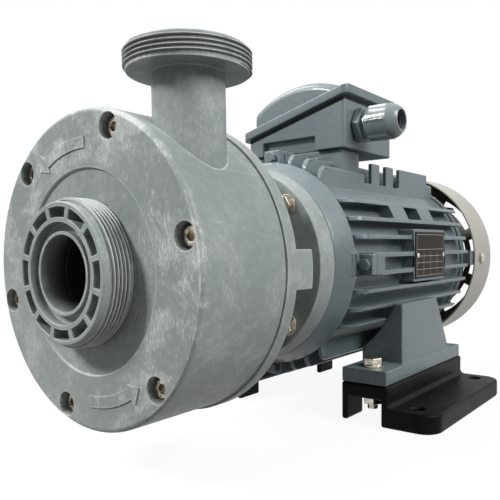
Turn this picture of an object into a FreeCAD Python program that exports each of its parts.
"""Close coupled plastic chemical pump with a foot-mounted motor on two base blocks.

The origin is on the shaft axis, in the plane of the casing's front face.
+Y runs from the suction nozzle to the motor, +Z is up and +X is the discharge side.
"""
import FreeCAD
import Part
import math
import os

import Sketcher

# Driving dimensions in millimetres
SIZES = {
    # Casing and its suction nozzle
    "casing_radius": 89.5,
    "casing_depth": 65.2,
    "casing_edge_round": 3.0,
    "chamber_front": 14.0,
    "chamber_radius": 66.0,
    "recess_radius": 57.4,
    "recess_depth": 1.5,
    "suction_bore": 20.8,
    "suction_reach": 16.5,
    "suction_thread_radius": 40.7,
    "suction_rim_radius": 38.5,
    "suction_lip_radius": 22.7,
    "suction_groove_radius": 27.5,
    "suction_pocket_inner": 30.1,
    "suction_pocket_outer": 35.6,
    "lip_setback": 2.0,
    "groove_depth": 6.0,
    "pocket_depth": 8.0,
    "pocket_half_angle": 12.2,
    "thread_lead_in": 4.0,
    "thread_depth": 1.4,
    "rim_bevel": 0.8,
    # Discharge neck
    "discharge_offset": 52.0,
    "discharge_station": 31.0,
    "discharge_bore": 14.5,
    "discharge_neck_radius": 19.5,
    "discharge_neck_root": 50.0,
    "discharge_throat_foot": 8.0,
    "discharge_thread_radius": 34.0,
    "discharge_height": 117.0,
    "discharge_ring_height": 12.6,
    "discharge_lip_radius": 16.6,
    "discharge_groove_radius": 21.0,
    "discharge_pocket_inner": 23.4,
    "discharge_pocket_outer": 29.4,
    # Casing screws and seal ring
    "screw_circle": 80.5,
    "screw_first_angle": 13.4,
    "counterbore_radius": 7.1,
    "counterbore_depth": 10.0,
    "casing_screw_radius": 3.0,
    "casing_screw_head": 5.0,
    "casing_screw_head_height": 6.0,
    "casing_screw_bite": 7.5,
    "ring_groove_inner": 68.5,
    "ring_cord_radius": 1.8,
    # Rear cover
    "cover_radius": 91.0,
    "cover_thickness": 9.0,
    "cover_spigot_front": 47.0,
    "lug_length": 15.8,
    "lug_width": 23.0,
    "seal_bore": 24.0,
    "seal_chamber_depth": 14.0,
    "seat_radius": 20.2,
    "seat_thickness": 10.0,
    "cover_shaft_hole": 16.5,
    # Lantern between the pump and the motor
    "neck_length": 58.8,
    "neck_radius": 46.0,
    "neck_bore": 38.0,
    "neck_flange_radius": 58.2,
    "neck_flange_thickness": 6.0,
    "neck_screw_circle": 52.5,
    "neck_screw_radius": 2.5,
    "neck_screw_bite": 8.0,
    "disc_thickness": 14.4,
    "disc_front_radius": 68.4,
    "disc_back_radius": 70.7,
    "spigot_radius": 47.5,
    "spigot_depth": 3.0,
    "bolt_circle": 57.5,
    "bolt_radius": 4.0,
    "bolt_head_flats": 13.0,
    "bolt_head_height": 5.3,
    "bolt_bite": 10.0,
    "washer_radius": 8.2,
    "washer_thickness": 1.6,
    # Impeller and its shaft
    "impeller_radius": 60.0,
    "impeller_front_gap": 1.0,
    "impeller_back_gap": 2.0,
    "impeller_plate": 5.0,
    "impeller_hub_radius": 17.0,
    "impeller_bore": 10.0,
    "impeller_hub_front": 30.0,
    "vane_inner_radius": 25.0,
    "vane_thickness": 4.0,
    "vane_bend_radius": 48.0,
    "vane_sweep": 50.0,
    "vane_tip_angle": 4.0,
    "stub_shoulder": 50.0,
    "stub_seal_radius": 14.0,
    "stub_step": 76.0,
    "stub_radius": 17.0,
    "stub_back": 138.0,
    "stud_radius": 6.0,
    "stud_length": 10.0,
    "cap_nut_radius": 11.0,
    "cap_nut_length": 13.0,
    "seal_head_radius": 19.5,
    "seal_face_length": 5.0,
    # Motor shaft and bearings
    "shaft_radius": 12.0,
    "shaft_reach": 50.0,
    "shaft_core_radius": 15.0,
    "shaft_fan_radius": 10.0,
    "key_width": 8.0,
    "key_height": 7.0,
    "key_length": 34.0,
    "key_end_gap": 4.0,
    "key_seat": 8.0,
    "bearing_bore": 12.5,
    "bearing_inner_land": 15.2,
    "bearing_outer_land": 23.3,
    "bearing_radius": 26.0,
    "bearing_width": 15.0,
    "front_bearing_station": 150.0,
    "rear_bearing_station": 371.0,
    "v_ring_radius": 17.0,
    "v_ring_length": 4.5,
    # Motor shields
    "shield_depth": 17.6,
    "shield_back_radius": 77.3,
    "shield_web": 7.6,
    "shield_hub_radius": 32.0,
    "shield_rim_inner": 61.0,
    "shield_lip": 5.0,
    "shield_shaft_gap": 1.0,
    "ear_front_gap": 5.0,
    "ear_thickness": 7.0,
    "ear_reach": 87.2,
    "ear_width": 15.0,
    "ear_screw_circle": 82.0,
    "ear_screw_radius": 2.5,
    "ear_screw_flats": 7.5,
    "ear_screw_head": 3.5,
    "ear_root_sink": 0.5,
    "ear_boss_length": 13.0,
    "rear_shield_radius": 76.0,
    "rear_shield_rim": 8.0,
    "rear_shield_hub_back": 12.0,
    "rear_screw_radius": 2.5,
    "rear_screw_head": 4.2,
    "rear_screw_bite": 11.0,
    "wave_spring_space": 1.0,
    # Motor frame
    "frame_length": 213.0,
    "frame_radius": 74.0,
    "frame_bore": 66.0,
    "fin_envelope": 85.0,
    "fin_pitch": 13.0,
    "fin_thickness": 3.2,
    "fin_setback": 1.2,
    "fin_bow": 9.0,
    "fin_rear_setback": 8.0,
    "foot_pad_width": 70.0,
    "spare_pad_width": 26.0,
    "pedestal_half_width": 42.0,
    "pedestal_setback": 4.5,
    "pedestal_length": 28.0,
    "top_wall_height": 81.0,
    "top_wall_foot": 64.0,
    "top_wall_length": 14.0,
    "top_wall_gap": 12.0,
    # Stator and rotor
    "core_front": 215.0,
    "core_length": 110.0,
    "stator_bore": 38.0,
    "air_gap": 0.4,
    "winding_length": 20.0,
    "winding_inner": 42.0,
    "winding_outer": 60.0,
    # Fan and its cover
    "fan_gap": 10.0,
    "fan_cover_length": 59.0,
    "fan_cover_radius": 86.0,
    "fan_cover_wall": 1.6,
    "fan_cover_round": 13.0,
    "fan_station": 394.0,
    "fan_hub_length": 20.0,
    "fan_hub_radius": 18.0,
    "fan_plate": 2.5,
    "fan_plate_radius": 60.0,
    "fan_blade_radius": 73.0,
    "fan_blade_length": 25.0,
    "fan_clip_length": 1.2,
    "cover_screw_station": 405.0,
    "cover_screw_radius": 2.0,
    "cover_screw_head": 5.0,
    "cover_screw_head_height": 2.4,
    "cover_tab_thickness": 5.0,
    "cover_tab_width": 14.0,
    "slot_first_radius": 20.0,
    "slot_width": 8.0,
    "slot_step": 14.0,
    "slot_half_angle": 17.0,
    # Terminal box
    "box_front": 200.0,
    "box_length": 79.0,
    "box_half_width": 47.5,
    "box_bottom": 89.0,
    "box_low_height": 12.0,
    "box_high_height": 36.7,
    "box_wall": 4.0,
    "box_corner_round": 3.5,
    "box_recess_left": 32.0,
    "box_recess_right": 20.0,
    "box_recess_height": 11.0,
    "box_recess_depth": 5.0,
    "cable_hole_radius": 8.5,
    "cable_hole_setback": 18.5,
    "gasket_thickness": 2.6,
    "lid_overhang": 4.0,
    "lid_rim": 7.0,
    "lid_wall": 3.0,
    "lid_corner_round": 6.0,
    "lid_dome_radius": 82.0,
    "lid_dome_round": 7.0,
    "lid_dome_left": 39.3,
    "lid_dome_right": 46.5,
    "lid_dome_left_height": 38.6,
    "lid_dome_right_height": 45.2,
    "lid_screw_radius": 2.0,
    "lid_screw_head": 4.0,
    "lid_screw_head_height": 2.6,
    "lid_screw_inset": 4.5,
    "lid_screw_corner": 7.0,
    "lid_screw_length": 14.0,
    "board_half_length": 28.0,
    "board_half_width": 16.0,
    "board_thickness": 6.0,
    "board_setback": 52.0,
    "stud_pitch": 18.0,
    "terminal_stud_radius": 2.0,
    "terminal_stud_height": 9.0,
    # Cable gland
    "gland_station": 222.0,
    "gland_height": 108.0,
    "gland_thread_radius": 10.0,
    "gland_bore": 6.5,
    "gland_flats": 24.0,
    "gland_hex": 6.0,
    "gland_washer": 1.2,
    "gland_thread_length": 14.0,
    "gland_nut_gap": 4.0,
    "gland_nut_length": 26.0,
    "gland_nut_radius": 13.4,
    "gland_nut_flats": 25.0,
    "cable_radius": 5.0,
    "gland_mouth": 7.5,
    "gland_lock_nut": 4.5,
    "gland_lock_nut_flats": 22.0,
    # Nameplate
    "plate_front": 246.0,
    "plate_length": 60.0,
    "plate_bottom": -14.0,
    "plate_height": 38.0,
    "plate_thickness": 0.8,
    "plate_pad_margin": 2.0,
    "rivet_radius": 2.0,
    "rivet_inset": 3.5,
    # Feet
    "shaft_height": 90.0,
    "foot_thickness": 11.0,
    "foot_front": 189.0,
    "foot_length": 149.0,
    "foot_inner": 50.8,
    "foot_outer": 88.6,
    "web_outer": 86.0,
    "web_front": 221.0,
    "web_foot_length": 96.5,
    "web_top_length": 68.0,
    "web_top_drop": 32.0,
    "foot_bolt_offset": 70.0,
    "foot_bolt_front": 203.0,
    "foot_bolt_spacing": 125.0,
    "foot_hole_radius": 4.5,
    "foot_nut_height": 6.5,
    "foot_nut_stand_out": 4.0,
    # Base blocks
    "base_height": 31.0,
    "base_flange_height": 14.7,
    "base_step_round": 4.0,
    "base_outer": 126.3,
    "base_riser_outer": 89.6,
    "base_front": 188.0,
    "base_length": 153.0,
    "base_leg": 5.0,
    "base_roof": 11.0,
    "base_body_inner": 84.0,
    "base_leg_lift": 1.5,
    "base_arch_height": 12.0,
    "base_arch_inset": 26.0,
    "base_corner_round": 14.0,
    "base_hole_offset": 107.0,
    "base_hole_front": 203.6,
    "base_hole_spacing": 122.0,
    "base_hole_radius": 4.5,
    # Clearances
    "fit_gap": 0.05,
    "loose_gap": 0.3,
}

# How many of each repeated form
SUCTION_POCKETS = 12
DISCHARGE_POCKETS = 10
CASING_SCREWS = 6
QUARTERS = 4
VANES = 6
FAN_BLADES = 8
BALLS = 9
FINS_PER_HALF = 4
SLOT_RINGS = 4
SLOTS_PER_RING = 8

FRONT = "XZ_Plane"
TOP = "XY_Plane"
SIDE = "YZ_Plane"


class Size:
    """A length together with the formula that it comes from."""

    def __init__(self, value, formula):
        self.value = float(value)
        self.formula = formula

    def joined(self, sign, other, value):
        return Size(value, "(%s %s %s)" % (self.formula, sign, other.formula))

    def __add__(self, other):
        other = size(other)
        return self.joined("+", other, self.value + other.value)

    def __sub__(self, other):
        other = size(other)
        return self.joined("-", other, self.value - other.value)

    def __mul__(self, other):
        other = size(other)
        return self.joined("*", other, self.value * other.value)

    def __truediv__(self, other):
        other = size(other)
        return self.joined("/", other, self.value / other.value)

    def __neg__(self):
        return Size(-self.value, "(0 - %s)" % self.formula)

    __radd__ = __add__
    __rmul__ = __mul__

    def __rsub__(self, other):
        return size(other) - self


def size(number):
    """Take a plain number as a size."""
    if isinstance(number, Size):
        return number
    return Size(number, "(%.9f)" % number)


def cosine(angle):
    angle = size(angle)
    return Size(math.cos(math.radians(angle.value)), "cos(%s)" % angle.formula)


def sine(angle):
    angle = size(angle)
    return Size(math.sin(math.radians(angle.value)), "sin(%s)" % angle.formula)


class Dimensions:
    """The sheet's values by name."""

    def __init__(self, document):
        sheet = document.addObject("Spreadsheet::Sheet", "Sizes")
        for row, (alias, value) in enumerate(SIZES.items(), start=1):
            sheet.set("A%d" % row, alias)
            sheet.set("B%d" % row, str(value))
            sheet.setAlias("B%d" % row, alias)
            setattr(self, alias, Size(value, "Sizes." + alias))


doc = FreeCAD.newDocument("chemical_pump")
D = Dimensions(doc)
doc.recompute()


# Sketches

def bind(thing, name, length):
    thing.setExpression(name, size(length).formula)


def origin_part(owner, role):
    for feature in owner.Origin.OriginFeatures:
        if feature.Role == role:
            return feature
    raise ValueError(role)


def new_body(label):
    owner = doc.addObject("PartDesign::Body", label)
    owner.Label = label
    return owner


def new_sketch(owner, plane, level, loops):
    """Draw loops on a plane of the body, at a level along the plane's axis."""
    sketch = owner.newObject("Sketcher::SketchObject", "Sketch")
    sketch.AttachmentSupport = [(origin_part(owner, plane), "")]
    sketch.MapMode = "FlatFace"
    outward = -1 if plane == FRONT else 1
    bind(sketch, ".AttachmentOffset.Base.z", size(level) * outward)
    for draw in loops:
        draw(sketch)
    return sketch


def limit(sketch, kind, where, length):
    """Add one dimension that follows its size."""
    length = size(length)
    index = sketch.addConstraint(Sketcher.Constraint(kind, *where, length.value))
    bind(sketch, "Constraints[%d]" % index, length)


def pin_point(sketch, edge, end, x, y):
    limit(sketch, "DistanceX", (-1, 1, edge, end), x)
    limit(sketch, "DistanceY", (-1, 1, edge, end), y)


def straight_or_arc(start, end, bend):
    """An edge between two points; a positive bend bulges to the right of its way."""
    a = FreeCAD.Vector(start[0].value, start[1].value, 0)
    b = FreeCAD.Vector(end[0].value, end[1].value, 0)
    if bend is None:
        return Part.LineSegment(a, b)
    chord = b - a
    half = chord.Length / 2
    radius = abs(bend.value)
    rise = math.copysign(radius - math.sqrt(radius * radius - half * half), bend.value)
    right = FreeCAD.Vector(chord.y, -chord.x, 0).normalize()
    return Part.Arc(a, (a + b) * 0.5 + right * rise, b)


def outline(points):
    """A closed loop of points; a third value is the radius of the arc to the next point."""
    corners = [(size(point[0]), size(point[1])) for point in points]
    bends = [size(point[2]) if len(point) > 2 else None for point in points]

    def draw(sketch):
        first = sketch.GeometryCount
        count = len(corners)
        ends = []
        for number, bend in enumerate(bends):
            edge = straight_or_arc(corners[number], corners[(number + 1) % count], bend)
            sketch.addGeometry(edge, False)
            ends.append((2, 1) if bend is not None and bend.value < 0 else (1, 2))
        for number, bend in enumerate(bends):
            after = (number + 1) % count
            joint = (first + number, ends[number][1], first + after, ends[after][0])
            sketch.addConstraint(Sketcher.Constraint("Coincident", *joint))
            pin_point(sketch, first + number, ends[number][0], *corners[number])
            if bend is not None:
                limit(sketch, "Radius", (first + number,), bend if bend.value > 0 else -bend)
    return draw


def rectangle(x_low, x_high, y_low, y_high):
    return outline([(x_low, y_low), (x_high, y_low), (x_high, y_high), (x_low, y_high)])


def hexagon(x, y, flats, first_turn=0):
    corner = size(flats) / math.sqrt(3)
    turns = [math.radians(60 * number + first_turn) for number in range(6)]
    return outline([(x + corner * math.cos(turn), y + corner * math.sin(turn)) for turn in turns])


def circle(x, y, radius):
    def draw(sketch):
        middle = FreeCAD.Vector(size(x).value, size(y).value, 0)
        round_edge = Part.Circle(middle, FreeCAD.Vector(0, 0, 1), size(radius).value)
        edge = sketch.addGeometry(round_edge, False)
        limit(sketch, "Radius", (edge,), radius)
        pin_point(sketch, edge, 3, x, y)
    return draw


def sector(x, y, inner, outer, half_angle, middle=90):
    """A piece of a ring, with the direction of its middle in degrees."""
    low = middle - half_angle
    high = middle + half_angle
    return outline([
        (x + inner * cosine(low), y + inner * sine(low)),
        (x + outer * cosine(low), y + outer * sine(low), outer),
        (x + outer * cosine(high), y + outer * sine(high)),
        (x + inner * cosine(high), y + inner * sine(high), -inner),
    ])


# Features

def extrusion(kind, owner, plane, start, end, loops, turned_over):
    feature_sketch = new_sketch(owner, plane, start, loops)
    feature = owner.newObject("PartDesign::" + kind, kind)
    feature.Profile = feature_sketch
    feature.Reversed = turned_over
    bind(feature, "Length", size(end) - size(start))
    return feature


def pad(owner, plane, start, end, *loops):
    """Material between two levels along the plane's axis."""
    return extrusion("Pad", owner, plane, start, end, loops, plane == FRONT)


def pocket(owner, plane, start, end, *loops):
    """A cut between two levels along the plane's axis."""
    return extrusion("Pocket", owner, plane, start, end, loops, plane != FRONT)


def turned(owner, points, kind="Revolution"):
    """Turn points of radius and station about the shaft axis."""
    profile = new_sketch(owner, TOP, 0, [outline(points)])
    feature = owner.newObject("PartDesign::" + kind, kind)
    feature.Profile = profile
    feature.ReferenceAxis = (profile, ["V_Axis"])
    feature.Angle = 360
    return feature


def turned_upright(owner, x, y, points, kind="Revolution"):
    """Turn points of radius and height about an upright axis."""
    x = size(x)
    moved = [(x + point[0],) + tuple(point[1:]) for point in points]
    profile = new_sketch(owner, FRONT, y, [outline(moved)])
    low = FreeCAD.Vector(x.value, 0, 0)
    axis = profile.addGeometry(Part.LineSegment(low, low + FreeCAD.Vector(0, 1, 0)), True)
    pin_point(profile, axis, 1, x, 0)
    pin_point(profile, axis, 2, x, 1)
    feature = owner.newObject("PartDesign::" + kind, kind)
    feature.Profile = profile
    feature.ReferenceAxis = (profile, ["Axis0"])
    feature.Angle = 360
    return feature


def around(owner, count, *features):
    """Repeat features round the shaft axis."""
    pattern = owner.newObject("PartDesign::PolarPattern", "PolarPattern")
    pattern.Originals = list(features)
    pattern.Axis = (origin_part(owner, "Y_Axis"), [""])
    pattern.Angle = 360
    pattern.Occurrences = count
    owner.Tip = pattern
    return pattern


def rounded(owner, radius, chosen):
    """Round the edges of the body so far that the test picks."""
    doc.recompute()
    tip = owner.Tip
    names = ["Edge%d" % n for n, edge in enumerate(tip.Shape.Edges, start=1) if chosen(edge)]
    fillet = owner.newObject("PartDesign::Fillet", "Fillet")
    fillet.Base = (tip, names)
    bind(fillet, "Radius", radius)
    return fillet


# Stations along the shaft and levels above and below it
casing_back = D.casing_depth
cover_back = casing_back + D.cover_thickness
lug_back = cover_back + D.lug_length
disc_front = cover_back + D.neck_length
flange_face = disc_front + D.disc_thickness
frame_front = flange_face + D.shield_depth
frame_back = frame_front + D.frame_length
fan_cover_front = frame_back + D.fan_gap
fan_cover_back = fan_cover_front + D.fan_cover_length
suction_face = -D.suction_reach
seat_front = D.cover_spigot_front + D.seal_chamber_depth
seat_back = seat_front + D.seat_thickness
plate_back = D.cover_spigot_front - D.impeller_back_gap
plate_front = plate_back - D.impeller_plate
shaft_front = flange_face - D.shaft_reach
key_front = shaft_front + D.key_end_gap
ear_front = frame_front + D.ear_front_gap
ear_back = ear_front + D.ear_thickness
box_back = D.box_front + D.box_length
plate_face = D.fin_envelope + D.plate_thickness
cover_inner = D.fan_cover_radius - D.fan_cover_wall
foot_bottom = -D.shaft_height
foot_top = foot_bottom + D.foot_thickness
foot_back = D.foot_front + D.foot_length
base_bottom = foot_bottom - D.base_height
base_back = D.base_front + D.base_length
base_flange_top = base_bottom + D.base_flange_height
base_roof_level = foot_bottom - D.base_roof


# Pump

def screw_place():
    """The first casing screw, as a distance to the right and up."""
    angle = D.screw_first_angle
    return D.screw_circle * cosine(angle), D.screw_circle * sine(angle)


def front_casing():
    """Drum with the pumping chamber, the throat and the seats of its two nozzles."""
    casing = new_body("front_casing")
    turned(casing, [
        (D.suction_bore, D.recess_depth),
        (D.recess_radius, D.recess_depth),
        (D.recess_radius, 0),
        (D.casing_radius - D.casing_edge_round, 0, D.casing_edge_round),
        (D.casing_radius, D.casing_edge_round),
        (D.casing_radius, casing_back),
        (D.chamber_radius, casing_back),
        (D.chamber_radius, D.chamber_front),
        (D.suction_bore, D.chamber_front),
    ])
    x, y = D.discharge_offset, D.discharge_station
    seat = circle(x, y, D.discharge_neck_radius + D.fit_gap)
    pocket(casing, TOP, D.discharge_neck_root, D.casing_radius, seat)
    half = D.discharge_bore
    throat = rectangle(x - half, x + half, y - half, y + half)
    pocket(casing, TOP, D.discharge_throat_foot, D.discharge_neck_root, throat)
    x, z = screw_place()
    sunk = pocket(casing, FRONT, 0, D.counterbore_depth, circle(x, z, D.counterbore_radius))
    hole = circle(x, z, D.casing_screw_radius + D.loose_gap)
    through = pocket(casing, FRONT, D.counterbore_depth, casing_back, hole)
    around(casing, CASING_SCREWS, sunk, through)


def suction_nozzle():
    """Ring on the casing's face with a lip, a groove and cored pockets."""
    nozzle = new_body("suction_nozzle")
    lip = suction_face + D.lip_setback
    floor = suction_face + D.groove_depth
    thread_start = suction_face + D.thread_lead_in
    thread_root = D.suction_thread_radius - D.thread_depth
    bevel = D.rim_bevel
    turned(nozzle, [
        (D.suction_bore, lip),
        (D.suction_lip_radius, lip),
        (D.suction_lip_radius, floor),
        (D.suction_groove_radius, floor),
        (D.suction_groove_radius, suction_face),
        (D.suction_rim_radius - bevel, suction_face),
        (D.suction_rim_radius, suction_face + bevel),
        (D.suction_rim_radius, thread_start),
        (thread_root, thread_start),
        (thread_root, D.recess_depth),
        (D.suction_bore, D.recess_depth),
    ])
    cell = sector(0, 0, D.suction_pocket_inner, D.suction_pocket_outer, D.pocket_half_angle)
    cored = pocket(nozzle, FRONT, suction_face, suction_face + D.pocket_depth, cell)
    around(nozzle, SUCTION_POCKETS, cored)


def discharge_neck():
    """Upright tube that stands in the casing's wall and ends in a threaded ring."""
    neck = new_body("discharge_neck")
    top = D.discharge_height
    under = top - D.discharge_ring_height
    thread_root = D.discharge_thread_radius - D.thread_depth
    bevel = D.rim_bevel
    turned_upright(neck, D.discharge_offset, D.discharge_station, [
        (D.discharge_bore, D.discharge_neck_root),
        (D.discharge_neck_radius, D.discharge_neck_root),
        (D.discharge_neck_radius, under),
        (thread_root, under),
        (thread_root, top - bevel),
        (thread_root - bevel, top),
        (D.discharge_groove_radius, top),
        (D.discharge_groove_radius, top - D.groove_depth),
        (D.discharge_lip_radius, top - D.groove_depth),
        (D.discharge_lip_radius, top - D.lip_setback),
        (D.discharge_bore, top - D.lip_setback),
    ])
    turned(neck, [
        (0, D.chamber_front),
        (D.chamber_radius, D.chamber_front),
        (D.chamber_radius, casing_back),
        (0, casing_back),
    ], "Groove")
    cells = [
        sector(D.discharge_offset, D.discharge_station, D.discharge_pocket_inner,
               D.discharge_pocket_outer, D.pocket_half_angle, 360 / DISCHARGE_POCKETS * number)
        for number in range(DISCHARGE_POCKETS)
    ]
    pocket(neck, TOP, top - D.pocket_depth, top, *cells)


def casing_screws():
    x, z = screw_place()
    screws = new_body("casing_screws")
    head_front = D.counterbore_depth - D.casing_screw_head_height
    head = pad(screws, FRONT, head_front, D.counterbore_depth, circle(x, z, D.casing_screw_head))
    tip = casing_back + D.casing_screw_bite
    shank = pad(screws, FRONT, D.counterbore_depth, tip, circle(x, z, D.casing_screw_radius))
    key_hole = hexagon(x, z, D.casing_screw_head)
    socket = pocket(screws, FRONT, head_front, head_front + D.casing_screw_head / 2, key_hole)
    around(screws, CASING_SCREWS, head, shank, socket)


def casing_ring():
    ring = new_body("casing_seal_ring")
    middle = D.ring_groove_inner + D.ring_cord_radius + D.fit_gap
    level = casing_back + D.ring_cord_radius + D.fit_gap
    cord = D.ring_cord_radius
    turned(ring, [(middle, level - cord, cord), (middle, level + cord, cord)])


def rear_cover():
    """Cover that closes the chamber behind the impeller and holds the shaft seal."""
    cover = new_body("rear_cover")
    spigot = D.chamber_radius - D.loose_gap
    seat_bore = D.seat_radius + D.fit_gap * 2
    ring_space = (D.ring_cord_radius + D.fit_gap) * 2
    points = [
        (D.seal_bore, D.cover_spigot_front),
        (spigot, D.cover_spigot_front),
        (spigot, casing_back),
        (D.ring_groove_inner, casing_back),
        (D.ring_groove_inner, casing_back + ring_space),
        (D.ring_groove_inner + ring_space, casing_back + ring_space),
        (D.ring_groove_inner + ring_space, casing_back),
        (D.cover_radius, casing_back),
        (D.cover_radius, cover_back),
        (D.cover_shaft_hole, cover_back),
        (D.cover_shaft_hole, seat_back),
        (seat_bore, seat_back),
        (seat_bore, seat_front),
        (D.seal_bore, seat_front),
    ]
    turned(cover, points)
    inner = D.neck_flange_radius + D.loose_gap
    half = D.lug_width / 2
    block = rectangle(inner, D.cover_radius + D.lug_length, -half, half)
    lug = pad(cover, FRONT, cover_back, lug_back, block)
    around(cover, QUARTERS, lug)
    far = D.cover_radius + D.lug_length * 2
    trim = [
        (D.cover_radius, cover_back),
        (far, cover_back),
        (far, lug_back + D.lug_length),
        (D.cover_radius, lug_back + D.lug_length),
    ]
    turned(cover, trim, "Groove")
    x, z = screw_place()
    hole = circle(x, z, D.casing_screw_radius + D.fit_gap)
    hole_end = casing_back + D.casing_screw_bite + D.loose_gap
    around(cover, CASING_SCREWS, pocket(cover, FRONT, casing_back, hole_end, hole))
    hole = circle(D.neck_screw_circle, 0, D.neck_screw_radius + D.fit_gap)
    hole_front = cover_back - D.neck_screw_bite - D.loose_gap
    around(cover, QUARTERS, pocket(cover, FRONT, hole_front, cover_back, hole))


def seal_parts():
    """Shaft seal: bellows and face turn with the shaft, the seat stays in the cover."""
    around_shaft = D.stub_seal_radius + D.fit_gap
    face_front = seat_front - D.seal_face_length
    bellows = new_body("seal_bellows")
    crown = D.seal_head_radius - D.seal_face_length / 2
    middle = (D.stub_shoulder + face_front) / 2
    turned(bellows, [
        (around_shaft, D.stub_shoulder),
        (crown, D.stub_shoulder),
        (D.seal_head_radius, middle),
        (crown, face_front),
        (around_shaft, face_front),
    ])
    face = new_body("seal_face")
    turned(face, [
        (around_shaft, face_front),
        (D.seal_head_radius, face_front),
        (D.seal_head_radius, seat_front - D.fit_gap),
        (around_shaft, seat_front - D.fit_gap),
    ])
    seat = new_body("seal_seat")
    seat_inner = D.stub_seal_radius + D.loose_gap * 2
    turned(seat, [
        (seat_inner, seat_front),
        (D.seat_radius, seat_front),
        (D.seat_radius, seat_back),
        (seat_inner, seat_back),
    ])


def impeller():
    """Semi-open impeller with vanes that lean back from its running direction."""
    wheel = new_body("impeller")
    turned(wheel, [
        (D.impeller_bore, D.impeller_hub_front),
        (D.impeller_hub_radius, D.impeller_hub_front),
        (D.impeller_hub_radius, plate_front),
        (D.impeller_radius, plate_front),
        (D.impeller_radius, plate_back),
        (D.impeller_hub_radius, plate_back),
        (D.impeller_hub_radius, D.stub_shoulder),
        (D.impeller_bore, D.stub_shoulder),
    ])
    half = D.vane_thickness / 2
    lead = D.vane_sweep
    trail = D.vane_sweep + D.vane_tip_angle
    vane_outline = outline([
        (D.vane_inner_radius, half, -D.vane_bend_radius),
        (D.impeller_radius * cosine(lead), -D.impeller_radius * sine(lead)),
        (D.impeller_radius * cosine(trail), -D.impeller_radius * sine(trail), D.vane_bend_radius),
        (D.vane_inner_radius, -half),
    ])
    vane_front = D.chamber_front + D.impeller_front_gap
    around(wheel, VANES, pad(wheel, FRONT, vane_front, plate_front, vane_outline))


def cap_nut():
    nut = new_body("impeller_nut")
    back = D.impeller_hub_front
    front = back - D.cap_nut_length
    turned(nut, [
        (0, front),
        (D.cap_nut_radius / 2, front, D.cap_nut_radius),
        (D.cap_nut_radius, front + D.cap_nut_radius / 2),
        (D.cap_nut_radius, back),
        (D.stud_radius + D.fit_gap, back),
        (D.stud_radius + D.fit_gap, back - D.stud_length - D.loose_gap),
        (0, back - D.stud_length - D.loose_gap),
    ])


def stub_shaft():
    """Shaft sleeve that carries the impeller and plugs onto the motor shaft."""
    stub = new_body("stub_shaft")
    front = D.impeller_hub_front - D.stud_length
    bore = D.shaft_radius + D.fit_gap
    turned(stub, [
        (0, front),
        (D.stud_radius, front),
        (D.stud_radius, D.impeller_hub_front),
        (D.impeller_bore - D.fit_gap, D.impeller_hub_front),
        (D.impeller_bore - D.fit_gap, D.stub_shoulder),
        (D.stub_seal_radius, D.stub_shoulder),
        (D.stub_seal_radius, D.stub_step),
        (D.stub_radius, D.stub_step),
        (D.stub_radius, D.stub_back),
        (bore, D.stub_back),
        (bore, shaft_front - D.loose_gap),
        (0, shaft_front - D.loose_gap),
    ])
    half = D.key_width / 2 + D.fit_gap
    key_top = D.key_seat + D.key_height + D.loose_gap
    pocket(stub, FRONT, key_front - D.fit_gap, D.stub_back, rectangle(-half, half, 0, key_top))


# Lantern

def lantern():
    """Neck and disc that hold the pump on the motor flange."""
    piece = new_body("lantern")
    neck_step = cover_back + D.neck_flange_thickness
    spigot = D.spigot_radius + D.fit_gap
    turned(piece, [
        (D.neck_bore, cover_back),
        (D.neck_flange_radius, cover_back),
        (D.neck_flange_radius, neck_step),
        (D.neck_radius, neck_step),
        (D.neck_radius, disc_front),
        (D.disc_front_radius, disc_front),
        (D.disc_back_radius, flange_face),
        (spigot, flange_face),
        (spigot, flange_face - D.spigot_depth - D.fit_gap),
        (D.neck_bore, flange_face - D.spigot_depth - D.fit_gap),
    ])
    diagonal = D.bolt_circle * math.sqrt(0.5)
    hole = circle(diagonal, diagonal, D.bolt_radius + D.loose_gap)
    around(piece, QUARTERS, pocket(piece, FRONT, disc_front, flange_face, hole))
    hole = circle(D.neck_screw_circle, 0, D.neck_screw_radius + D.loose_gap)
    around(piece, QUARTERS, pocket(piece, FRONT, cover_back, neck_step, hole))


def lantern_fasteners():
    diagonal = D.bolt_circle * math.sqrt(0.5)
    washer_front = disc_front - D.washer_thickness
    head_front = washer_front - D.bolt_head_height
    bolts = new_body("lantern_bolts")
    hex_head = hexagon(diagonal, diagonal, D.bolt_head_flats)
    head = pad(bolts, FRONT, head_front, washer_front, hex_head)
    shank_end = circle(diagonal, diagonal, D.bolt_radius)
    shank = pad(bolts, FRONT, washer_front, flange_face + D.bolt_bite, shank_end)
    around(bolts, QUARTERS, head, shank)
    washers = new_body("lantern_washers")
    rim = circle(diagonal, diagonal, D.washer_radius)
    hole = circle(diagonal, diagonal, D.bolt_radius + D.loose_gap)
    around(washers, QUARTERS, pad(washers, FRONT, washer_front, disc_front, rim, hole))
    screws = new_body("neck_screws")
    seat = cover_back + D.neck_flange_thickness
    height = D.neck_screw_radius * 2
    head_rim = circle(D.neck_screw_circle, 0, D.neck_screw_radius * 1.7)
    head = pad(screws, FRONT, seat, seat + height, head_rim)
    body_rim = circle(D.neck_screw_circle, 0, D.neck_screw_radius)
    shank = pad(screws, FRONT, cover_back - D.neck_screw_bite, seat, body_rim)
    around(screws, QUARTERS, head, shank)


# Motor shaft, bearings and what turns with them

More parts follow.
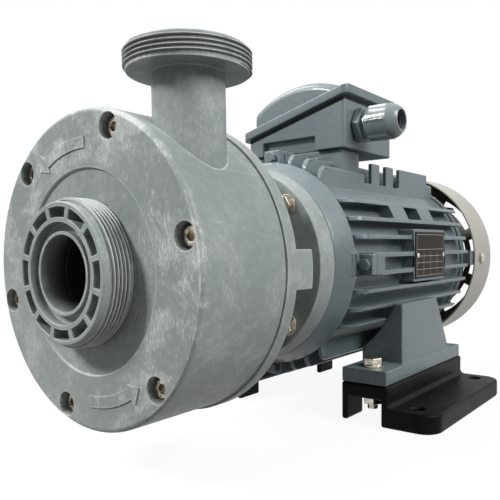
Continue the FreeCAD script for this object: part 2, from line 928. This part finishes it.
def motor_shaft():
    shaft = new_body("motor_shaft")
    journal = D.bearing_bore - D.fit_gap
    front_shoulder = D.front_bearing_station + D.bearing_width
    rear_journal_end = D.rear_bearing_station + D.bearing_width
    tail = D.fan_station + D.fan_hub_length + D.fan_clip_length * 2
    turned(shaft, [
        (0, shaft_front),
        (D.shaft_radius, shaft_front),
        (D.shaft_radius, flange_face),
        (journal, flange_face),
        (journal, front_shoulder),
        (D.shaft_core_radius, front_shoulder),
        (D.shaft_core_radius, D.rear_bearing_station),
        (journal, D.rear_bearing_station),
        (journal, rear_journal_end),
        (D.shaft_fan_radius, rear_journal_end),
        (D.shaft_fan_radius, tail),
        (0, tail),
    ])
    half = D.key_width / 2 + D.fit_gap
    slot = rectangle(-half, half, D.key_seat - D.fit_gap, D.shaft_radius * 1.2)
    pocket(shaft, FRONT, key_front - D.fit_gap, key_front + D.key_length + D.fit_gap, slot)
    key = new_body("shaft_key")
    half = D.key_width / 2
    section = rectangle(-half, half, D.key_seat, D.key_seat + D.key_height)
    pad(key, FRONT, key_front, key_front + D.key_length, section)


def tube(label, inner, outer, front, back):
    """A plain ring about the shaft axis."""
    owner = new_body(label)
    turned(owner, [(inner, front), (outer, front), (outer, back), (inner, back)])
    return owner


def bearing(name, station):
    back = station + D.bearing_width
    tube(name + "_inner_ring", D.bearing_bore, D.bearing_inner_land, station, back)
    tube(name + "_outer_ring", D.bearing_outer_land, D.bearing_radius, station, back)
    balls = new_body(name + "_balls")
    middle = (D.bearing_inner_land + D.bearing_outer_land) / 2
    radius = (D.bearing_outer_land - D.bearing_inner_land) / 2 - D.fit_gap
    half_disc = [(0, -radius, radius), (radius, 0, radius), (0, radius)]
    around(balls, BALLS, turned_upright(balls, middle, station + D.bearing_width / 2, half_disc))


def rotor_parts():
    tube("rotor_core", D.shaft_core_radius + D.fit_gap, D.stator_bore - D.air_gap,
         D.core_front, D.core_front + D.core_length)
    v_ring_back = flange_face - D.spigot_depth - D.loose_gap
    v_ring_front = v_ring_back - D.v_ring_length
    lip = new_body("shaft_v_ring")
    turned(lip, [
        (D.shaft_radius + D.fit_gap, v_ring_front),
        (D.v_ring_radius - D.v_ring_length / 2, v_ring_front),
        (D.v_ring_radius, v_ring_back),
        (D.shaft_radius + D.fit_gap, v_ring_back),
    ])


def fan_parts():
    fan = new_body("fan")
    bore = D.shaft_fan_radius + D.fit_gap
    plate_end = D.fan_station + D.fan_plate
    hub_end = D.fan_station + D.fan_hub_length
    turned(fan, [
        (bore, D.fan_station),
        (D.fan_plate_radius, D.fan_station),
        (D.fan_plate_radius, plate_end),
        (D.fan_hub_radius, plate_end),
        (D.fan_hub_radius, hub_end),
        (bore, hub_end),
    ])
    half = D.fan_plate / 2
    plate = rectangle(D.fan_hub_radius - half, D.fan_blade_radius, -half, half)
    blade = pad(fan, FRONT, D.fan_station, D.fan_station + D.fan_blade_length, plate)
    around(fan, FAN_BLADES, blade)
    clip_end = hub_end + D.fan_clip_length
    tube("fan_clip", bore, D.shaft_fan_radius + D.fan_clip_length * 2, hub_end, clip_end)


# Motor housing

def front_shield():
    """Motor end shield towards the pump, with four ears that clamp the frame."""
    shield = new_body("front_shield")
    spigot = D.spigot_radius - D.fit_gap
    spigot_front = flange_face - D.spigot_depth
    hub_back = D.front_bearing_station + D.bearing_width + D.fit_gap * 20
    web_back = flange_face + D.shield_web
    lip = D.frame_bore - D.fit_gap
    seat = D.bearing_radius + D.fit_gap
    shaft_hole = D.shaft_radius + D.shield_shaft_gap
    turned(shield, [
        (shaft_hole, spigot_front),
        (spigot, spigot_front),
        (spigot, flange_face),
        (D.disc_back_radius, flange_face),
        (D.shield_back_radius, frame_front),
        (lip, frame_front),
        (lip, frame_front + D.shield_lip),
        (D.shield_rim_inner, frame_front + D.shield_lip),
        (D.shield_rim_inner, web_back),
        (D.shield_hub_radius, web_back),
        (D.shield_hub_radius, hub_back),
        (seat, hub_back),
        (seat, D.front_bearing_station),
        (shaft_hole, D.front_bearing_station),
    ])
    low = D.frame_radius + D.loose_gap
    ear_outline = outline([
        (low, frame_front - D.ear_thickness / 2),
        (D.shield_back_radius - D.ear_root_sink, frame_front - D.ear_thickness / 2),
        (D.shield_back_radius - D.ear_root_sink, ear_front),
        (D.ear_reach, ear_front),
        (D.ear_reach, ear_back),
        (low, ear_back),
    ])
    half = D.ear_width / 2
    ear = pad(shield, TOP, -half, half, ear_outline)
    hole = circle(D.ear_screw_circle, 0, D.ear_screw_radius + D.loose_gap)
    drilled = pocket(shield, FRONT, ear_front, ear_back, hole)
    around(shield, QUARTERS, ear, drilled)
    diagonal = D.bolt_circle * math.sqrt(0.5)
    bolt_hole = circle(diagonal, diagonal, D.bolt_radius + D.fit_gap)
    hole_end = flange_face + D.bolt_bite + D.loose_gap
    around(shield, QUARTERS, pocket(shield, FRONT, flange_face, hole_end, bolt_hole))


def shield_screws():
    screws = new_body("shield_screws")
    hex_head = hexagon(D.ear_screw_circle, 0, D.ear_screw_flats)
    head = pad(screws, FRONT, ear_front - D.ear_screw_head, ear_front, hex_head)
    rim = circle(D.ear_screw_circle, 0, D.ear_screw_radius)
    shank = pad(screws, FRONT, ear_front, ear_back + D.ear_boss_length - D.loose_gap, rim)
    around(screws, QUARTERS, head, shank)


def fin_sections(across):
    """Sections of the fins on both sides of the middle, lying or standing."""
    far = D.fin_envelope + D.fin_thickness
    near = D.fin_pitch * FINS_PER_HALF
    half = D.fin_thickness / 2
    sections = []
    for number in range(-FINS_PER_HALF, FINS_PER_HALF):
        level = D.fin_pitch * (number + 0.5)
        for low, high in ((-far, -near), (near, far)):
            if across:
                sections.append(rectangle(low, high, level - half, level + half))
            else:
                sections.append(rectangle(level - half, level + half, low, high))
    return sections


def foot_pads(frame, side):
    """Blocks between the fins that carry the feet, and the spare ones above."""
    low_fin = D.fin_pitch * (FINS_PER_HALF - 0.5)
    high_fin = D.fin_pitch * (FINS_PER_HALF - 1.5)
    inner = D.fin_pitch * FINS_PER_HALF
    outer = D.fin_envelope + D.fin_thickness
    ends = sorted([inner * side, outer * side], key=lambda end: end.value)
    start = D.web_front + D.fin_thickness
    pad(frame, FRONT, start, start + D.foot_pad_width, rectangle(*ends, -low_fin, -high_fin))
    for step in range(2):
        first = start + D.spare_pad_width * 2 * step
        pad(frame, FRONT, first, first + D.spare_pad_width, rectangle(*ends, high_fin, low_fin))


def top_walls(frame, side, start, end):
    """Raised stretches of the outer standing fin, with gaps between them."""
    middle = D.fin_pitch * (FINS_PER_HALF - 0.5)
    low, high = both_ends(side, middle - D.fin_thickness, middle + D.fin_thickness)
    stations = [start + (D.top_wall_length + D.top_wall_gap) * step for step in range(3)]
    gaps = [rectangle(low, high, station, station + D.top_wall_gap) for station in stations]
    pocket(frame, TOP, D.top_wall_foot, D.fin_envelope, *gaps)
    half = D.fin_thickness / 2
    low, high = both_ends(side, middle - half, middle + half)
    wall = D.top_wall_gap + D.top_wall_length
    fronts = [station + D.top_wall_gap for station in stations]
    backs = [station + wall for station in stations[:-1]] + [end]
    walls = [rectangle(low, high, front, back) for front, back in zip(fronts, backs)]
    pad(frame, TOP, D.top_wall_foot - D.fin_thickness * 2, D.top_wall_height, *walls)


def motor_frame():
    """Finned tube with pads for the feet, the nameplate, the box and the shield screws."""
    frame = new_body("motor_frame")
    fins_front = frame_front + D.fin_setback
    fins_back = frame_back - D.fin_rear_setback
    pad(frame, FRONT, fins_front, fins_back, *fin_sections(True))
    pad(frame, FRONT, fins_front, fins_back, *fin_sections(False))
    foot_pads(frame, 1)
    foot_pads(frame, -1)
    far = D.fin_envelope * 1.5
    turned(frame, [
        (D.fin_envelope - D.fin_bow, frame_front),
        (far, frame_front),
        (far, frame_back),
        (D.fin_envelope, frame_back),
        (D.fin_envelope, fins_front + D.fin_bow, -D.fin_bow),
        (D.fin_envelope - D.fin_bow, fins_front),
    ], "Groove")
    turned(frame, [
        (D.frame_bore - D.fin_thickness, frame_front),
        (D.frame_radius, frame_front),
        (D.frame_radius, frame_back),
        (D.frame_bore - D.fin_thickness, frame_back),
    ])
    margin = D.plate_pad_margin
    plate_top = D.plate_bottom + D.plate_height
    plate_pad = rectangle(D.frame_bore, D.fin_envelope, D.plate_bottom - margin, plate_top + margin)
    plate_end = D.plate_front + D.plate_length
    pad(frame, FRONT, D.plate_front - margin, plate_end + margin, plate_pad)
    half = D.pedestal_half_width
    pedestal_front = D.box_front + D.pedestal_setback
    pedestal = rectangle(-half, half, D.stator_bore, D.box_bottom)
    pedestal_back = pedestal_front + D.pedestal_length
    pad(frame, FRONT, pedestal_front, pedestal_back, pedestal)
    for side in (1, -1):
        top_walls(frame, side, pedestal_back, fins_back - D.top_wall_gap)
    ear_gap_back = ear_back + D.loose_gap
    half = D.ear_width / 2
    boss_end = ear_back + D.ear_boss_length
    boss_block = rectangle(D.frame_bore, D.ear_reach, -half, half)
    boss = pad(frame, FRONT, ear_gap_back, boss_end, boss_block)
    hole = circle(D.ear_screw_circle, 0, D.ear_screw_radius + D.fit_gap)
    drilled = pocket(frame, FRONT, ear_gap_back, boss_end, hole)
    half = D.fin_pitch / 2 + D.fin_thickness / 2 + D.fit_gap
    relief = rectangle(D.frame_radius, far, -half, half)
    relieved = pocket(frame, FRONT, frame_front, ear_gap_back, relief)
    around(frame, QUARTERS, boss, drilled, relieved)
    pocket(frame, FRONT, frame_front, frame_back, circle(0, 0, D.frame_bore))
    wall_middle = (D.frame_bore + D.frame_radius) / 2 * math.sqrt(0.5)
    hole = circle(wall_middle, wall_middle, D.rear_screw_radius + D.fit_gap)
    hole_front = frame_back - D.rear_screw_bite - D.loose_gap
    around(frame, QUARTERS, pocket(frame, FRONT, hole_front, frame_back, hole))
    cable_way = circle(0, D.box_front + D.cable_hole_setback, D.cable_hole_radius)
    pocket(frame, TOP, D.stator_bore, D.box_bottom, cable_way)
    pocket(frame, SIDE, D.frame_radius + D.fin_thickness, D.fin_envelope, *rivet_holes(D.fit_gap))


def rear_shield():
    """Motor end shield under the fan cover, with four fingers for its screws."""
    shield = new_body("rear_shield")
    seat = D.bearing_radius + D.fit_gap
    hub_back = frame_back + D.rear_shield_hub_back
    floor = D.rear_bearing_station + D.bearing_width + D.wave_spring_space
    lip = D.frame_bore - D.fit_gap
    rim_back = frame_back + D.rear_shield_rim
    web_front = frame_back + D.rear_shield_rim / 4
    shaft_hole = D.shaft_fan_radius + D.shield_shaft_gap
    turned(shield, [
        (seat, D.rear_bearing_station),
        (D.shield_hub_radius, D.rear_bearing_station),
        (D.shield_hub_radius, web_front),
        (D.shield_rim_inner, web_front),
        (D.shield_rim_inner, frame_back - D.shield_lip),
        (lip, frame_back - D.shield_lip),
        (lip, frame_back),
        (D.rear_shield_radius, frame_back),
        (D.rear_shield_radius, rim_back),
        (D.shield_rim_inner, rim_back),
        (D.shield_hub_radius, hub_back),
        (shaft_hole, hub_back),
        (shaft_hole, floor),
        (seat, floor),
    ])
    tab_outer = cover_inner - D.loose_gap * 2
    tab_inner = tab_outer - D.cover_tab_thickness
    tab_end = D.cover_screw_station + D.cover_tab_thickness
    tab_root = frame_back + D.rear_shield_rim / 4
    finger_outline = outline([
        (D.frame_bore, tab_root),
        (tab_outer, tab_root),
        (tab_outer, tab_end),
        (tab_inner, tab_end),
        (tab_inner, rim_back),
        (D.frame_bore, rim_back),
    ])
    half = D.cover_tab_width / 2
    finger = pad(shield, TOP, -half, half, finger_outline)
    hole = circle(D.cover_screw_station, 0, D.cover_screw_radius + D.fit_gap)
    drilled = pocket(shield, SIDE, tab_inner, tab_outer, hole)
    around(shield, QUARTERS, finger, drilled)
    wall_middle = (D.frame_bore + D.frame_radius) / 2 * math.sqrt(0.5)
    hole = circle(wall_middle, wall_middle, D.rear_screw_radius + D.loose_gap)
    around(shield, QUARTERS, pocket(shield, FRONT, frame_back, rim_back, hole))


def rear_shield_screws():
    screws = new_body("rear_shield_screws")
    wall_middle = (D.frame_bore + D.frame_radius) / 2 * math.sqrt(0.5)
    seat = frame_back + D.rear_shield_rim
    height = D.rear_screw_radius * 1.4
    head_rim = circle(wall_middle, wall_middle, D.rear_screw_head)
    head = pad(screws, FRONT, seat, seat + height, head_rim)
    rim = circle(wall_middle, wall_middle, D.rear_screw_radius)
    shank = pad(screws, FRONT, frame_back - D.rear_screw_bite, seat, rim)
    around(screws, QUARTERS, head, shank)


def wave_spring():
    front = D.rear_bearing_station + D.bearing_width + D.fit_gap
    back = front + D.wave_spring_space - D.fit_gap * 2
    tube("wave_spring", D.bearing_outer_land, D.bearing_radius, front, back)


def stator_parts():
    core_back = D.core_front + D.core_length
    tube("stator_core", D.stator_bore, D.frame_bore - D.fit_gap, D.core_front, core_back)
    windings = new_body("stator_windings")
    bevel = D.winding_length / 4
    for near, far in ((D.core_front, D.core_front - D.winding_length),
                      (core_back, core_back + D.winding_length)):
        tip = far + bevel if far.value < near.value else far - bevel
        turned(windings, [
            (D.winding_inner, near),
            (D.winding_outer, near),
            (D.winding_outer, tip),
            (D.winding_outer - bevel, far),
            (D.winding_inner + bevel, far),
            (D.winding_inner, tip),
        ])


def fan_cover():
    """Thin cover over the fan, open to the fins and with air slots at the back."""
    cover = new_body("fan_cover")
    outer = D.fan_cover_radius
    bend = D.fan_cover_round
    back = fan_cover_back
    floor = back - D.fan_cover_wall
    turned(cover, [
        (cover_inner, fan_cover_front),
        (outer, fan_cover_front),
        (outer, back - bend, bend),
        (outer - bend, back),
        (0, back),
        (0, floor),
        (outer - bend, floor, D.fan_cover_wall - bend),
        (cover_inner, back - bend),
    ])
    slots = []
    for ring in range(SLOT_RINGS):
        inner = D.slot_first_radius + D.slot_step * ring
        slots.append(sector(0, 0, inner, inner + D.slot_width, D.slot_half_angle))
    around(cover, SLOTS_PER_RING, pocket(cover, FRONT, floor, back, *slots))
    hole = circle(D.cover_screw_station, 0, D.cover_screw_radius + D.loose_gap)
    start = D.frame_radius
    end = outer + D.cover_screw_head_height
    around(cover, QUARTERS, pocket(cover, SIDE, start, end, hole))


def fan_cover_screws():
    screws = new_body("fan_cover_screws")
    seat = D.fan_cover_radius
    head_rim = circle(D.cover_screw_station, 0, D.cover_screw_head)
    head = pad(screws, SIDE, seat, seat + D.cover_screw_head_height, head_rim)
    tip = cover_inner - D.loose_gap * 2 - D.cover_tab_thickness
    rim = circle(D.cover_screw_station, 0, D.cover_screw_radius)
    around(screws, QUARTERS, head, pad(screws, SIDE, tip, seat, rim))


# Terminal box

def box_slope(x):
    """Level of the box's sloping rim at a distance to the right."""
    fall = (D.box_high_height - D.box_low_height) / (D.box_half_width * 2)
    return D.box_bottom + D.box_low_height + (size(x) + D.box_half_width) * fall


def box_inside():
    """Plan of the hollow, with its corners cut off for the screws and a step for the recess."""
    right = D.box_half_width - D.box_wall
    front = D.box_front + D.box_wall
    behind_recess = front + D.box_recess_depth
    step = D.box_recess_right + D.box_wall
    back = box_back - D.box_wall
    cut = D.lid_screw_corner
    return outline([
        (cut - right, behind_recess), (step, behind_recess), (step, front),
        (right - cut, front), (right, front + cut), (right, back - cut), (right - cut, back),
        (cut - right, back), (-right, back - cut), (-right, behind_recess + cut),
    ])


def lid_screw_places():
    x = D.box_half_width - D.lid_screw_inset
    front = D.box_front + D.lid_screw_inset
    back = box_back - D.lid_screw_inset
    return [(-x, front), (-x, back), (x, front), (x, back)]


def lid_screw_seat(x):
    return box_slope(x) + D.gasket_thickness + D.lid_rim / 2


def upright_corner(side, front, back):
    """A test for the four edges where the sides of a block meet its ends."""
    def chosen(edge):
        middle = edge.CenterOfMass
        at_side = abs(abs(middle.x) - side.value) < 0.01
        return at_side and min(abs(middle.y - front.value), abs(middle.y - back.value)) < 0.01
    return chosen


def terminal_box():
    box = new_body("terminal_box")
    right = D.box_half_width
    side_view = outline([
        (-right, D.box_bottom),
        (right, D.box_bottom),
        (right, D.box_bottom + D.box_high_height),
        (-right, D.box_bottom + D.box_low_height),
    ])
    pad(box, FRONT, D.box_front, box_back, side_view)
    rounded(box, D.box_corner_round, upright_corner(right, D.box_front, box_back))
    floor = D.box_bottom + D.box_wall
    pocket(box, TOP, floor, D.box_bottom + D.box_high_height * 1.2, box_inside())
    entry = circle(D.gland_station, D.gland_height, D.gland_thread_radius + D.fit_gap * 2)
    pocket(box, SIDE, right - D.box_wall, right, entry)
    cable_way = circle(0, D.box_front + D.cable_hole_setback, D.cable_hole_radius)
    pocket(box, TOP, D.box_bottom, floor, cable_way)
    recess_top = D.box_bottom + D.box_recess_height
    recess = rectangle(-D.box_recess_left, D.box_recess_right, D.box_bottom, recess_top)
    pocket(box, FRONT, D.box_front, D.box_front + D.box_recess_depth, recess)
    for x, y in lid_screw_places():
        low = lid_screw_seat(x) - D.lid_screw_length - D.loose_gap
        hole = circle(x, y, D.lid_screw_radius + D.fit_gap)
        pocket(box, TOP, low, lid_screw_seat(x), hole)


def box_gasket():
    gasket = new_body("box_gasket")
    right = D.box_half_width - D.loose_gap * 3
    inset = D.loose_gap * 3
    section = outline([
        (-right, box_slope(-right)),
        (right, box_slope(right)),
        (right, box_slope(right) + D.gasket_thickness),
        (-right, box_slope(-right) + D.gasket_thickness),
    ])
    pad(gasket, FRONT, D.box_front + inset, box_back - inset, section)
    pocket(gasket, TOP, D.box_bottom, D.box_bottom + D.box_high_height * 1.2, box_inside())
    for x, y in lid_screw_places():
        hole = circle(x, y, D.lid_screw_radius + D.loose_gap)
        pocket(gasket, TOP, D.box_bottom, lid_screw_seat(x), hole)


def dome_section(inset, foot):
    """End view of the lid's dome or of its hollow, from a foot above the slope."""
    left = inset - D.lid_dome_left
    right = D.lid_dome_right - inset
    return outline([
        (left, box_slope(left) + foot),
        (right, box_slope(right) + foot),
        (right, D.box_bottom + D.lid_dome_right_height - inset, D.lid_dome_radius),
        (left, D.box_bottom + D.lid_dome_left_height - inset),
    ])


def terminal_box_lid():
    lid = new_body("terminal_box_lid")
    side = D.box_half_width + D.lid_overhang
    front = D.box_front - D.lid_overhang
    back = box_back + D.lid_overhang
    under = D.gasket_thickness
    rim = outline([
        (-side, box_slope(-side) + under),
        (side, box_slope(side) + under),
        (side, box_slope(side) + under + D.lid_rim),
        (-side, box_slope(-side) + under + D.lid_rim),
    ])
    pad(lid, FRONT, front, back, rim)
    rounded(lid, D.lid_corner_round, upright_corner(side, front, back))
    pad(lid, FRONT, D.box_front, box_back, dome_section(size(0), D.gasket_thickness * 2))
    front_level = D.box_front.value
    back_level = box_back.value
    least_height = (box_slope(0) + D.gasket_thickness).value

    def dome_end(edge):
        middle = edge.CenterOfMass
        at_end = min(abs(middle.y - front_level), abs(middle.y - back_level)) < 0.01
        return at_end and isinstance(edge.Curve, Part.Circle) and middle.z > least_height
    rounded(lid, D.lid_dome_round, dome_end)
    inset = D.lid_screw_inset * 2 + D.lid_wall
    hollow_front = D.box_front + inset
    hollow = dome_section(D.lid_screw_inset * 2, D.gasket_thickness / 2)
    pocket(lid, FRONT, hollow_front, box_back - inset, hollow)
    top = D.box_bottom + D.box_high_height * 2
    for x, y in lid_screw_places():
        well = circle(x, y, D.lid_screw_head + D.loose_gap * 2)
        pocket(lid, TOP, lid_screw_seat(x), top, well)
        hole = circle(x, y, D.lid_screw_radius + D.loose_gap)
        pocket(lid, TOP, box_slope(x), lid_screw_seat(x), hole)


def lid_screws():
    screws = new_body("lid_screws")
    for x, y in lid_screw_places():
        seat = lid_screw_seat(x)
        pad(screws, TOP, seat, seat + D.lid_screw_head_height, circle(x, y, D.lid_screw_head))
        pad(screws, TOP, seat - D.lid_screw_length, seat, circle(x, y, D.lid_screw_radius))


def terminal_board():
    floor = D.box_bottom + D.box_wall
    top = floor + D.board_thickness
    middle = D.box_front + D.board_setback
    board = new_body("terminal_board")
    along = D.board_half_length
    across = D.board_half_width
    pad(board, TOP, floor, top, rectangle(-along, along, middle - across, middle + across))
    studs = new_body("terminal_studs")
    rims = []
    for column in (-1, 0, 1):
        for row in (-0.5, 0.5):
            x = D.stud_pitch * column
            y = middle + D.board_half_width * row
            rims.append(circle(x, y, D.terminal_stud_radius))
    pad(studs, TOP, top, top + D.terminal_stud_height, *rims)


# Cable gland, drawn along its own axis and set on the box wall

def gland_body(label):
    owner = new_body(label)
    turn = FreeCAD.Rotation(FreeCAD.Vector(0, 0, 1), -90)
    owner.Placement = FreeCAD.Placement(FreeCAD.Vector(0, 0, 0), turn)
    bind(owner, ".Placement.Base.x", D.box_half_width)
    bind(owner, ".Placement.Base.y", D.gland_station)
    bind(owner, ".Placement.Base.z", D.gland_height)
    return owner


def cable_gland():
    thread = D.gland_thread_radius
    wall = D.box_wall
    hex_back = D.gland_washer + D.gland_hex
    inside_end = -wall - D.gland_lock_nut * 1.2
    body = gland_body("gland_body")
    tube_end = hex_back + D.gland_thread_length
    turned(body, [
        (D.gland_bore, inside_end), (thread, inside_end), (thread, tube_end), (D.gland_bore, tube_end),
    ])
    hex_hole = circle(0, 0, (D.gland_bore + thread) / 2)
    pad(body, FRONT, D.gland_washer, hex_back, hexagon(0, 0, D.gland_flats), hex_hole)
    washer = gland_body("gland_washer")
    washer_rim = circle(0, 0, D.gland_flats / 2)
    pad(washer, FRONT, 0, D.gland_washer, washer_rim, circle(0, 0, thread + D.fit_gap))
    lock_nut = gland_body("gland_lock_nut")
    lock_hole = circle(0, 0, thread + D.fit_gap)
    lock_front = -wall - D.gland_lock_nut
    lock_hex = hexagon(0, 0, D.gland_lock_nut_flats, 30)
    pad(lock_nut, FRONT, lock_front, -wall, lock_hex, lock_hole)
    nut_front = hex_back + D.gland_nut_gap
    nut_end = nut_front + D.gland_nut_length
    mouth = D.gland_mouth
    grip = tube_end + D.gland_thread_length / 8
    round_start = nut_front + D.gland_nut_length * 0.66
    nut = gland_body("gland_nut")
    turned(nut, [
        (thread + D.fit_gap, nut_front),
        (D.gland_nut_radius, nut_front),
        (D.gland_nut_radius, round_start, D.gland_nut_length / 2),
        (mouth + D.gland_washer, nut_end),
        (mouth, nut_end),
        (mouth, nut_end - D.gland_nut_gap),
        (thread + D.fit_gap, grip),
    ])
    hex_start = nut_front + D.gland_washer
    ring_hole = circle(0, 0, (thread + D.gland_nut_radius) / 2)
    nut_hex = hexagon(0, 0, D.gland_nut_flats)
    pad(nut, FRONT, hex_start, round_start, nut_hex, ring_hole)
    seal = gland_body("gland_seal")
    seal_end = nut_end - D.gland_nut_gap
    turned(seal, [
        (D.cable_radius, tube_end),
        (thread - D.loose_gap, tube_end),
        (thread - D.loose_gap * 2, grip),
        (mouth - D.loose_gap, seal_end),
        (D.cable_radius, seal_end),
    ])


# Nameplate

def rivet_holes(clearance):
    middle = D.plate_bottom + D.plate_height / 2
    near = D.plate_front + D.rivet_inset
    far = D.plate_front + D.plate_length - D.rivet_inset
    radius = D.rivet_radius / 2 + clearance
    return [circle(near, middle, radius), circle(far, middle, radius)]


def nameplate():
    plate = new_body("nameplate")
    plate_end = D.plate_front + D.plate_length
    plate_top = D.plate_bottom + D.plate_height
    sheet = rectangle(D.plate_front, plate_end, D.plate_bottom, plate_top)
    pad(plate, SIDE, D.fin_envelope, plate_face, sheet, *rivet_holes(D.fit_gap))
    rivets = new_body("nameplate_rivets")
    tip = D.frame_radius + D.fin_thickness * 1.5
    pad(rivets, SIDE, tip, plate_face, *rivet_holes(size(0)))
    head = plate_face + D.rivet_radius / 2
    pad(rivets, SIDE, plate_face, head, *rivet_holes(D.rivet_radius / 2))


# Feet and base blocks

def foot_bolt_places():
    near = D.foot_bolt_front
    far = near + D.foot_bolt_spacing
    x = D.foot_bolt_offset
    return [(x, near), (x, far), (-x, near), (-x, far)]


def both_ends(side, inner, outer):
    """A span on one side of the machine, low end first."""
    if side > 0:
        return inner, outer
    return -outer, -inner


def foot(label, side):
    owner = new_body(label)
    low, high = both_ends(side, D.foot_inner, D.foot_outer)
    pad(owner, TOP, foot_bottom, foot_top, rectangle(low, high, D.foot_front, foot_back))
    low, high = both_ends(side, D.foot_inner, D.web_outer)
    web_top = -D.web_top_drop
    web = outline([
        (D.web_front, foot_top),
        (D.web_front + D.web_foot_length, foot_top),
        (D.web_front + D.web_top_length, web_top),
        (D.web_front, web_top),
    ])
    pad(owner, SIDE, low, high, web)
    saddle = circle(0, 0, D.fin_envelope + D.loose_gap)
    pocket(owner, FRONT, D.foot_front, foot_back, saddle)
    holes = [circle(x, y, D.foot_hole_radius) for x, y in foot_bolt_places() if x.value * side > 0]
    pocket(owner, TOP, foot_bottom, foot_top, *holes)


def foot_fasteners():
    places = foot_bolt_places()
    seat = foot_top + D.washer_thickness
    nut_low = base_roof_level - D.foot_nut_height
    bolts = new_body("foot_bolts")
    heads = [hexagon(x, y, D.bolt_head_flats) for x, y in places]
    pad(bolts, TOP, seat, seat + D.bolt_head_height, *heads)
    shanks = [circle(x, y, D.bolt_radius) for x, y in places]
    pad(bolts, TOP, nut_low - D.foot_nut_stand_out, seat, *shanks)
    washers = new_body("foot_washers")
    rims = [circle(x, y, D.washer_radius) for x, y in places]
    holes = [circle(x, y, D.bolt_radius + D.loose_gap) for x, y in places]
    pad(washers, TOP, foot_top, seat, *rims, *holes)
    nuts = new_body("foot_nuts")
    hexes = [hexagon(x, y, D.bolt_head_flats) for x, y in places]
    holes = [circle(x, y, D.bolt_radius + D.fit_gap) for x, y in places]
    pad(nuts, TOP, nut_low, base_roof_level, *hexes, *holes)


def base_block(label, side):
    """Moulded block: a hollow riser under the foot and a flange beside it."""
    owner = new_body(label)
    leg_low = base_bottom + D.base_leg_lift
    leg_outer = D.foot_inner + D.base_leg
    step = D.base_step_round
    step_foot = (D.base_riser_outer + step, base_flange_top, -step)
    section = [
        (D.foot_inner, leg_low), (leg_outer, leg_low),
        (leg_outer, base_roof_level), (D.base_body_inner, base_roof_level),
        (D.base_body_inner, base_bottom), (D.base_outer, base_bottom),
        (D.base_outer, base_flange_top), step_foot,
        (D.base_riser_outer, base_flange_top + D.base_step_round),
        (D.base_riser_outer, foot_bottom), (D.foot_inner, foot_bottom),
    ]
    section = [(x * side, z, *[bend * side for bend in bends]) for x, z, *bends in section]
    pad(owner, FRONT, D.base_front, base_back, outline(section))
    far = D.base_outer.value

    def outer_corner(edge):
        ends = [vertex.Point for vertex in edge.Vertexes]
        upright = abs(ends[0].z - ends[-1].z) > 1
        return upright and all(abs(abs(end.x) - far) < 0.01 for end in ends)
    rounded(owner, D.base_corner_round, outer_corner)
    low, high = both_ends(side, D.foot_inner, leg_outer)
    arch_top = leg_low + D.base_arch_height
    arch_back = base_back - D.base_arch_inset
    arch = rectangle(D.base_front + D.base_arch_inset, arch_back, base_bottom, arch_top)
    pocket(owner, SIDE, low, high, arch)
    bolts = [circle(x, y, D.foot_hole_radius) for x, y in foot_bolt_places() if x.value * side > 0]
    pocket(owner, TOP, base_roof_level, foot_bottom, *bolts)
    far_hole = D.base_hole_front + D.base_hole_spacing
    x = D.base_hole_offset * side
    holes = [circle(x, y, D.base_hole_radius) for y in (D.base_hole_front, far_hole)]
    pocket(owner, TOP, base_bottom, base_flange_top, *holes)


def check_model():
    """Stop at a failed feature, a cut that removes nothing or a broken solid."""
    doc.recompute()
    faults = []
    for owner in doc.findObjects("PartDesign::Body"):
        for thing in owner.Group:
            name = "%s of %s" % (thing.Name, owner.Label)
            if "Invalid" in thing.State or "Error" in thing.State:
                faults.append("failed: " + name)
            elif thing.TypeId != "Sketcher::SketchObject" and thing.Shape.isNull():
                faults.append("no shape: " + name)
            elif thing.TypeId in ("PartDesign::Pocket", "PartDesign::Groove"):
                if thing.Shape.Volume > thing.BaseFeature.Shape.Volume - 0.01:
                    faults.append("cuts nothing: " + name)
        if owner.Shape.isNull() or not owner.Shape.isValid():
            faults.append("bad shape: " + owner.Label)
    if faults:
        raise RuntimeError("; ".join(faults))


def write_parts():
    os.makedirs("parts", exist_ok=True)
    for owner in doc.findObjects("PartDesign::Body"):
        owner.Shape.exportStep(os.path.join("parts", owner.Label + ".step"))
        print("%-26s %3d solids %9.0f mm3" % (
            owner.Label, len(owner.Shape.Solids), owner.Shape.Volume))


front_casing()
suction_nozzle()
discharge_neck()
casing_screws()
casing_ring()
rear_cover()
seal_parts()
impeller()
cap_nut()
stub_shaft()
lantern()
lantern_fasteners()
motor_shaft()
bearing("front_bearing", D.front_bearing_station)
bearing("rear_bearing", D.rear_bearing_station)
rotor_parts()
fan_parts()
front_shield()
shield_screws()
motor_frame()
rear_shield()
rear_shield_screws()
wave_spring()
stator_parts()
fan_cover()
fan_cover_screws()
terminal_box()
box_gasket()
terminal_box_lid()
lid_screws()
terminal_board()
cable_gland()
nameplate()
foot("foot_right", 1)
foot("foot_left", -1)
foot_fasteners()
base_block("base_right", 1)
base_block("base_left", -1)
check_model()
write_parts()
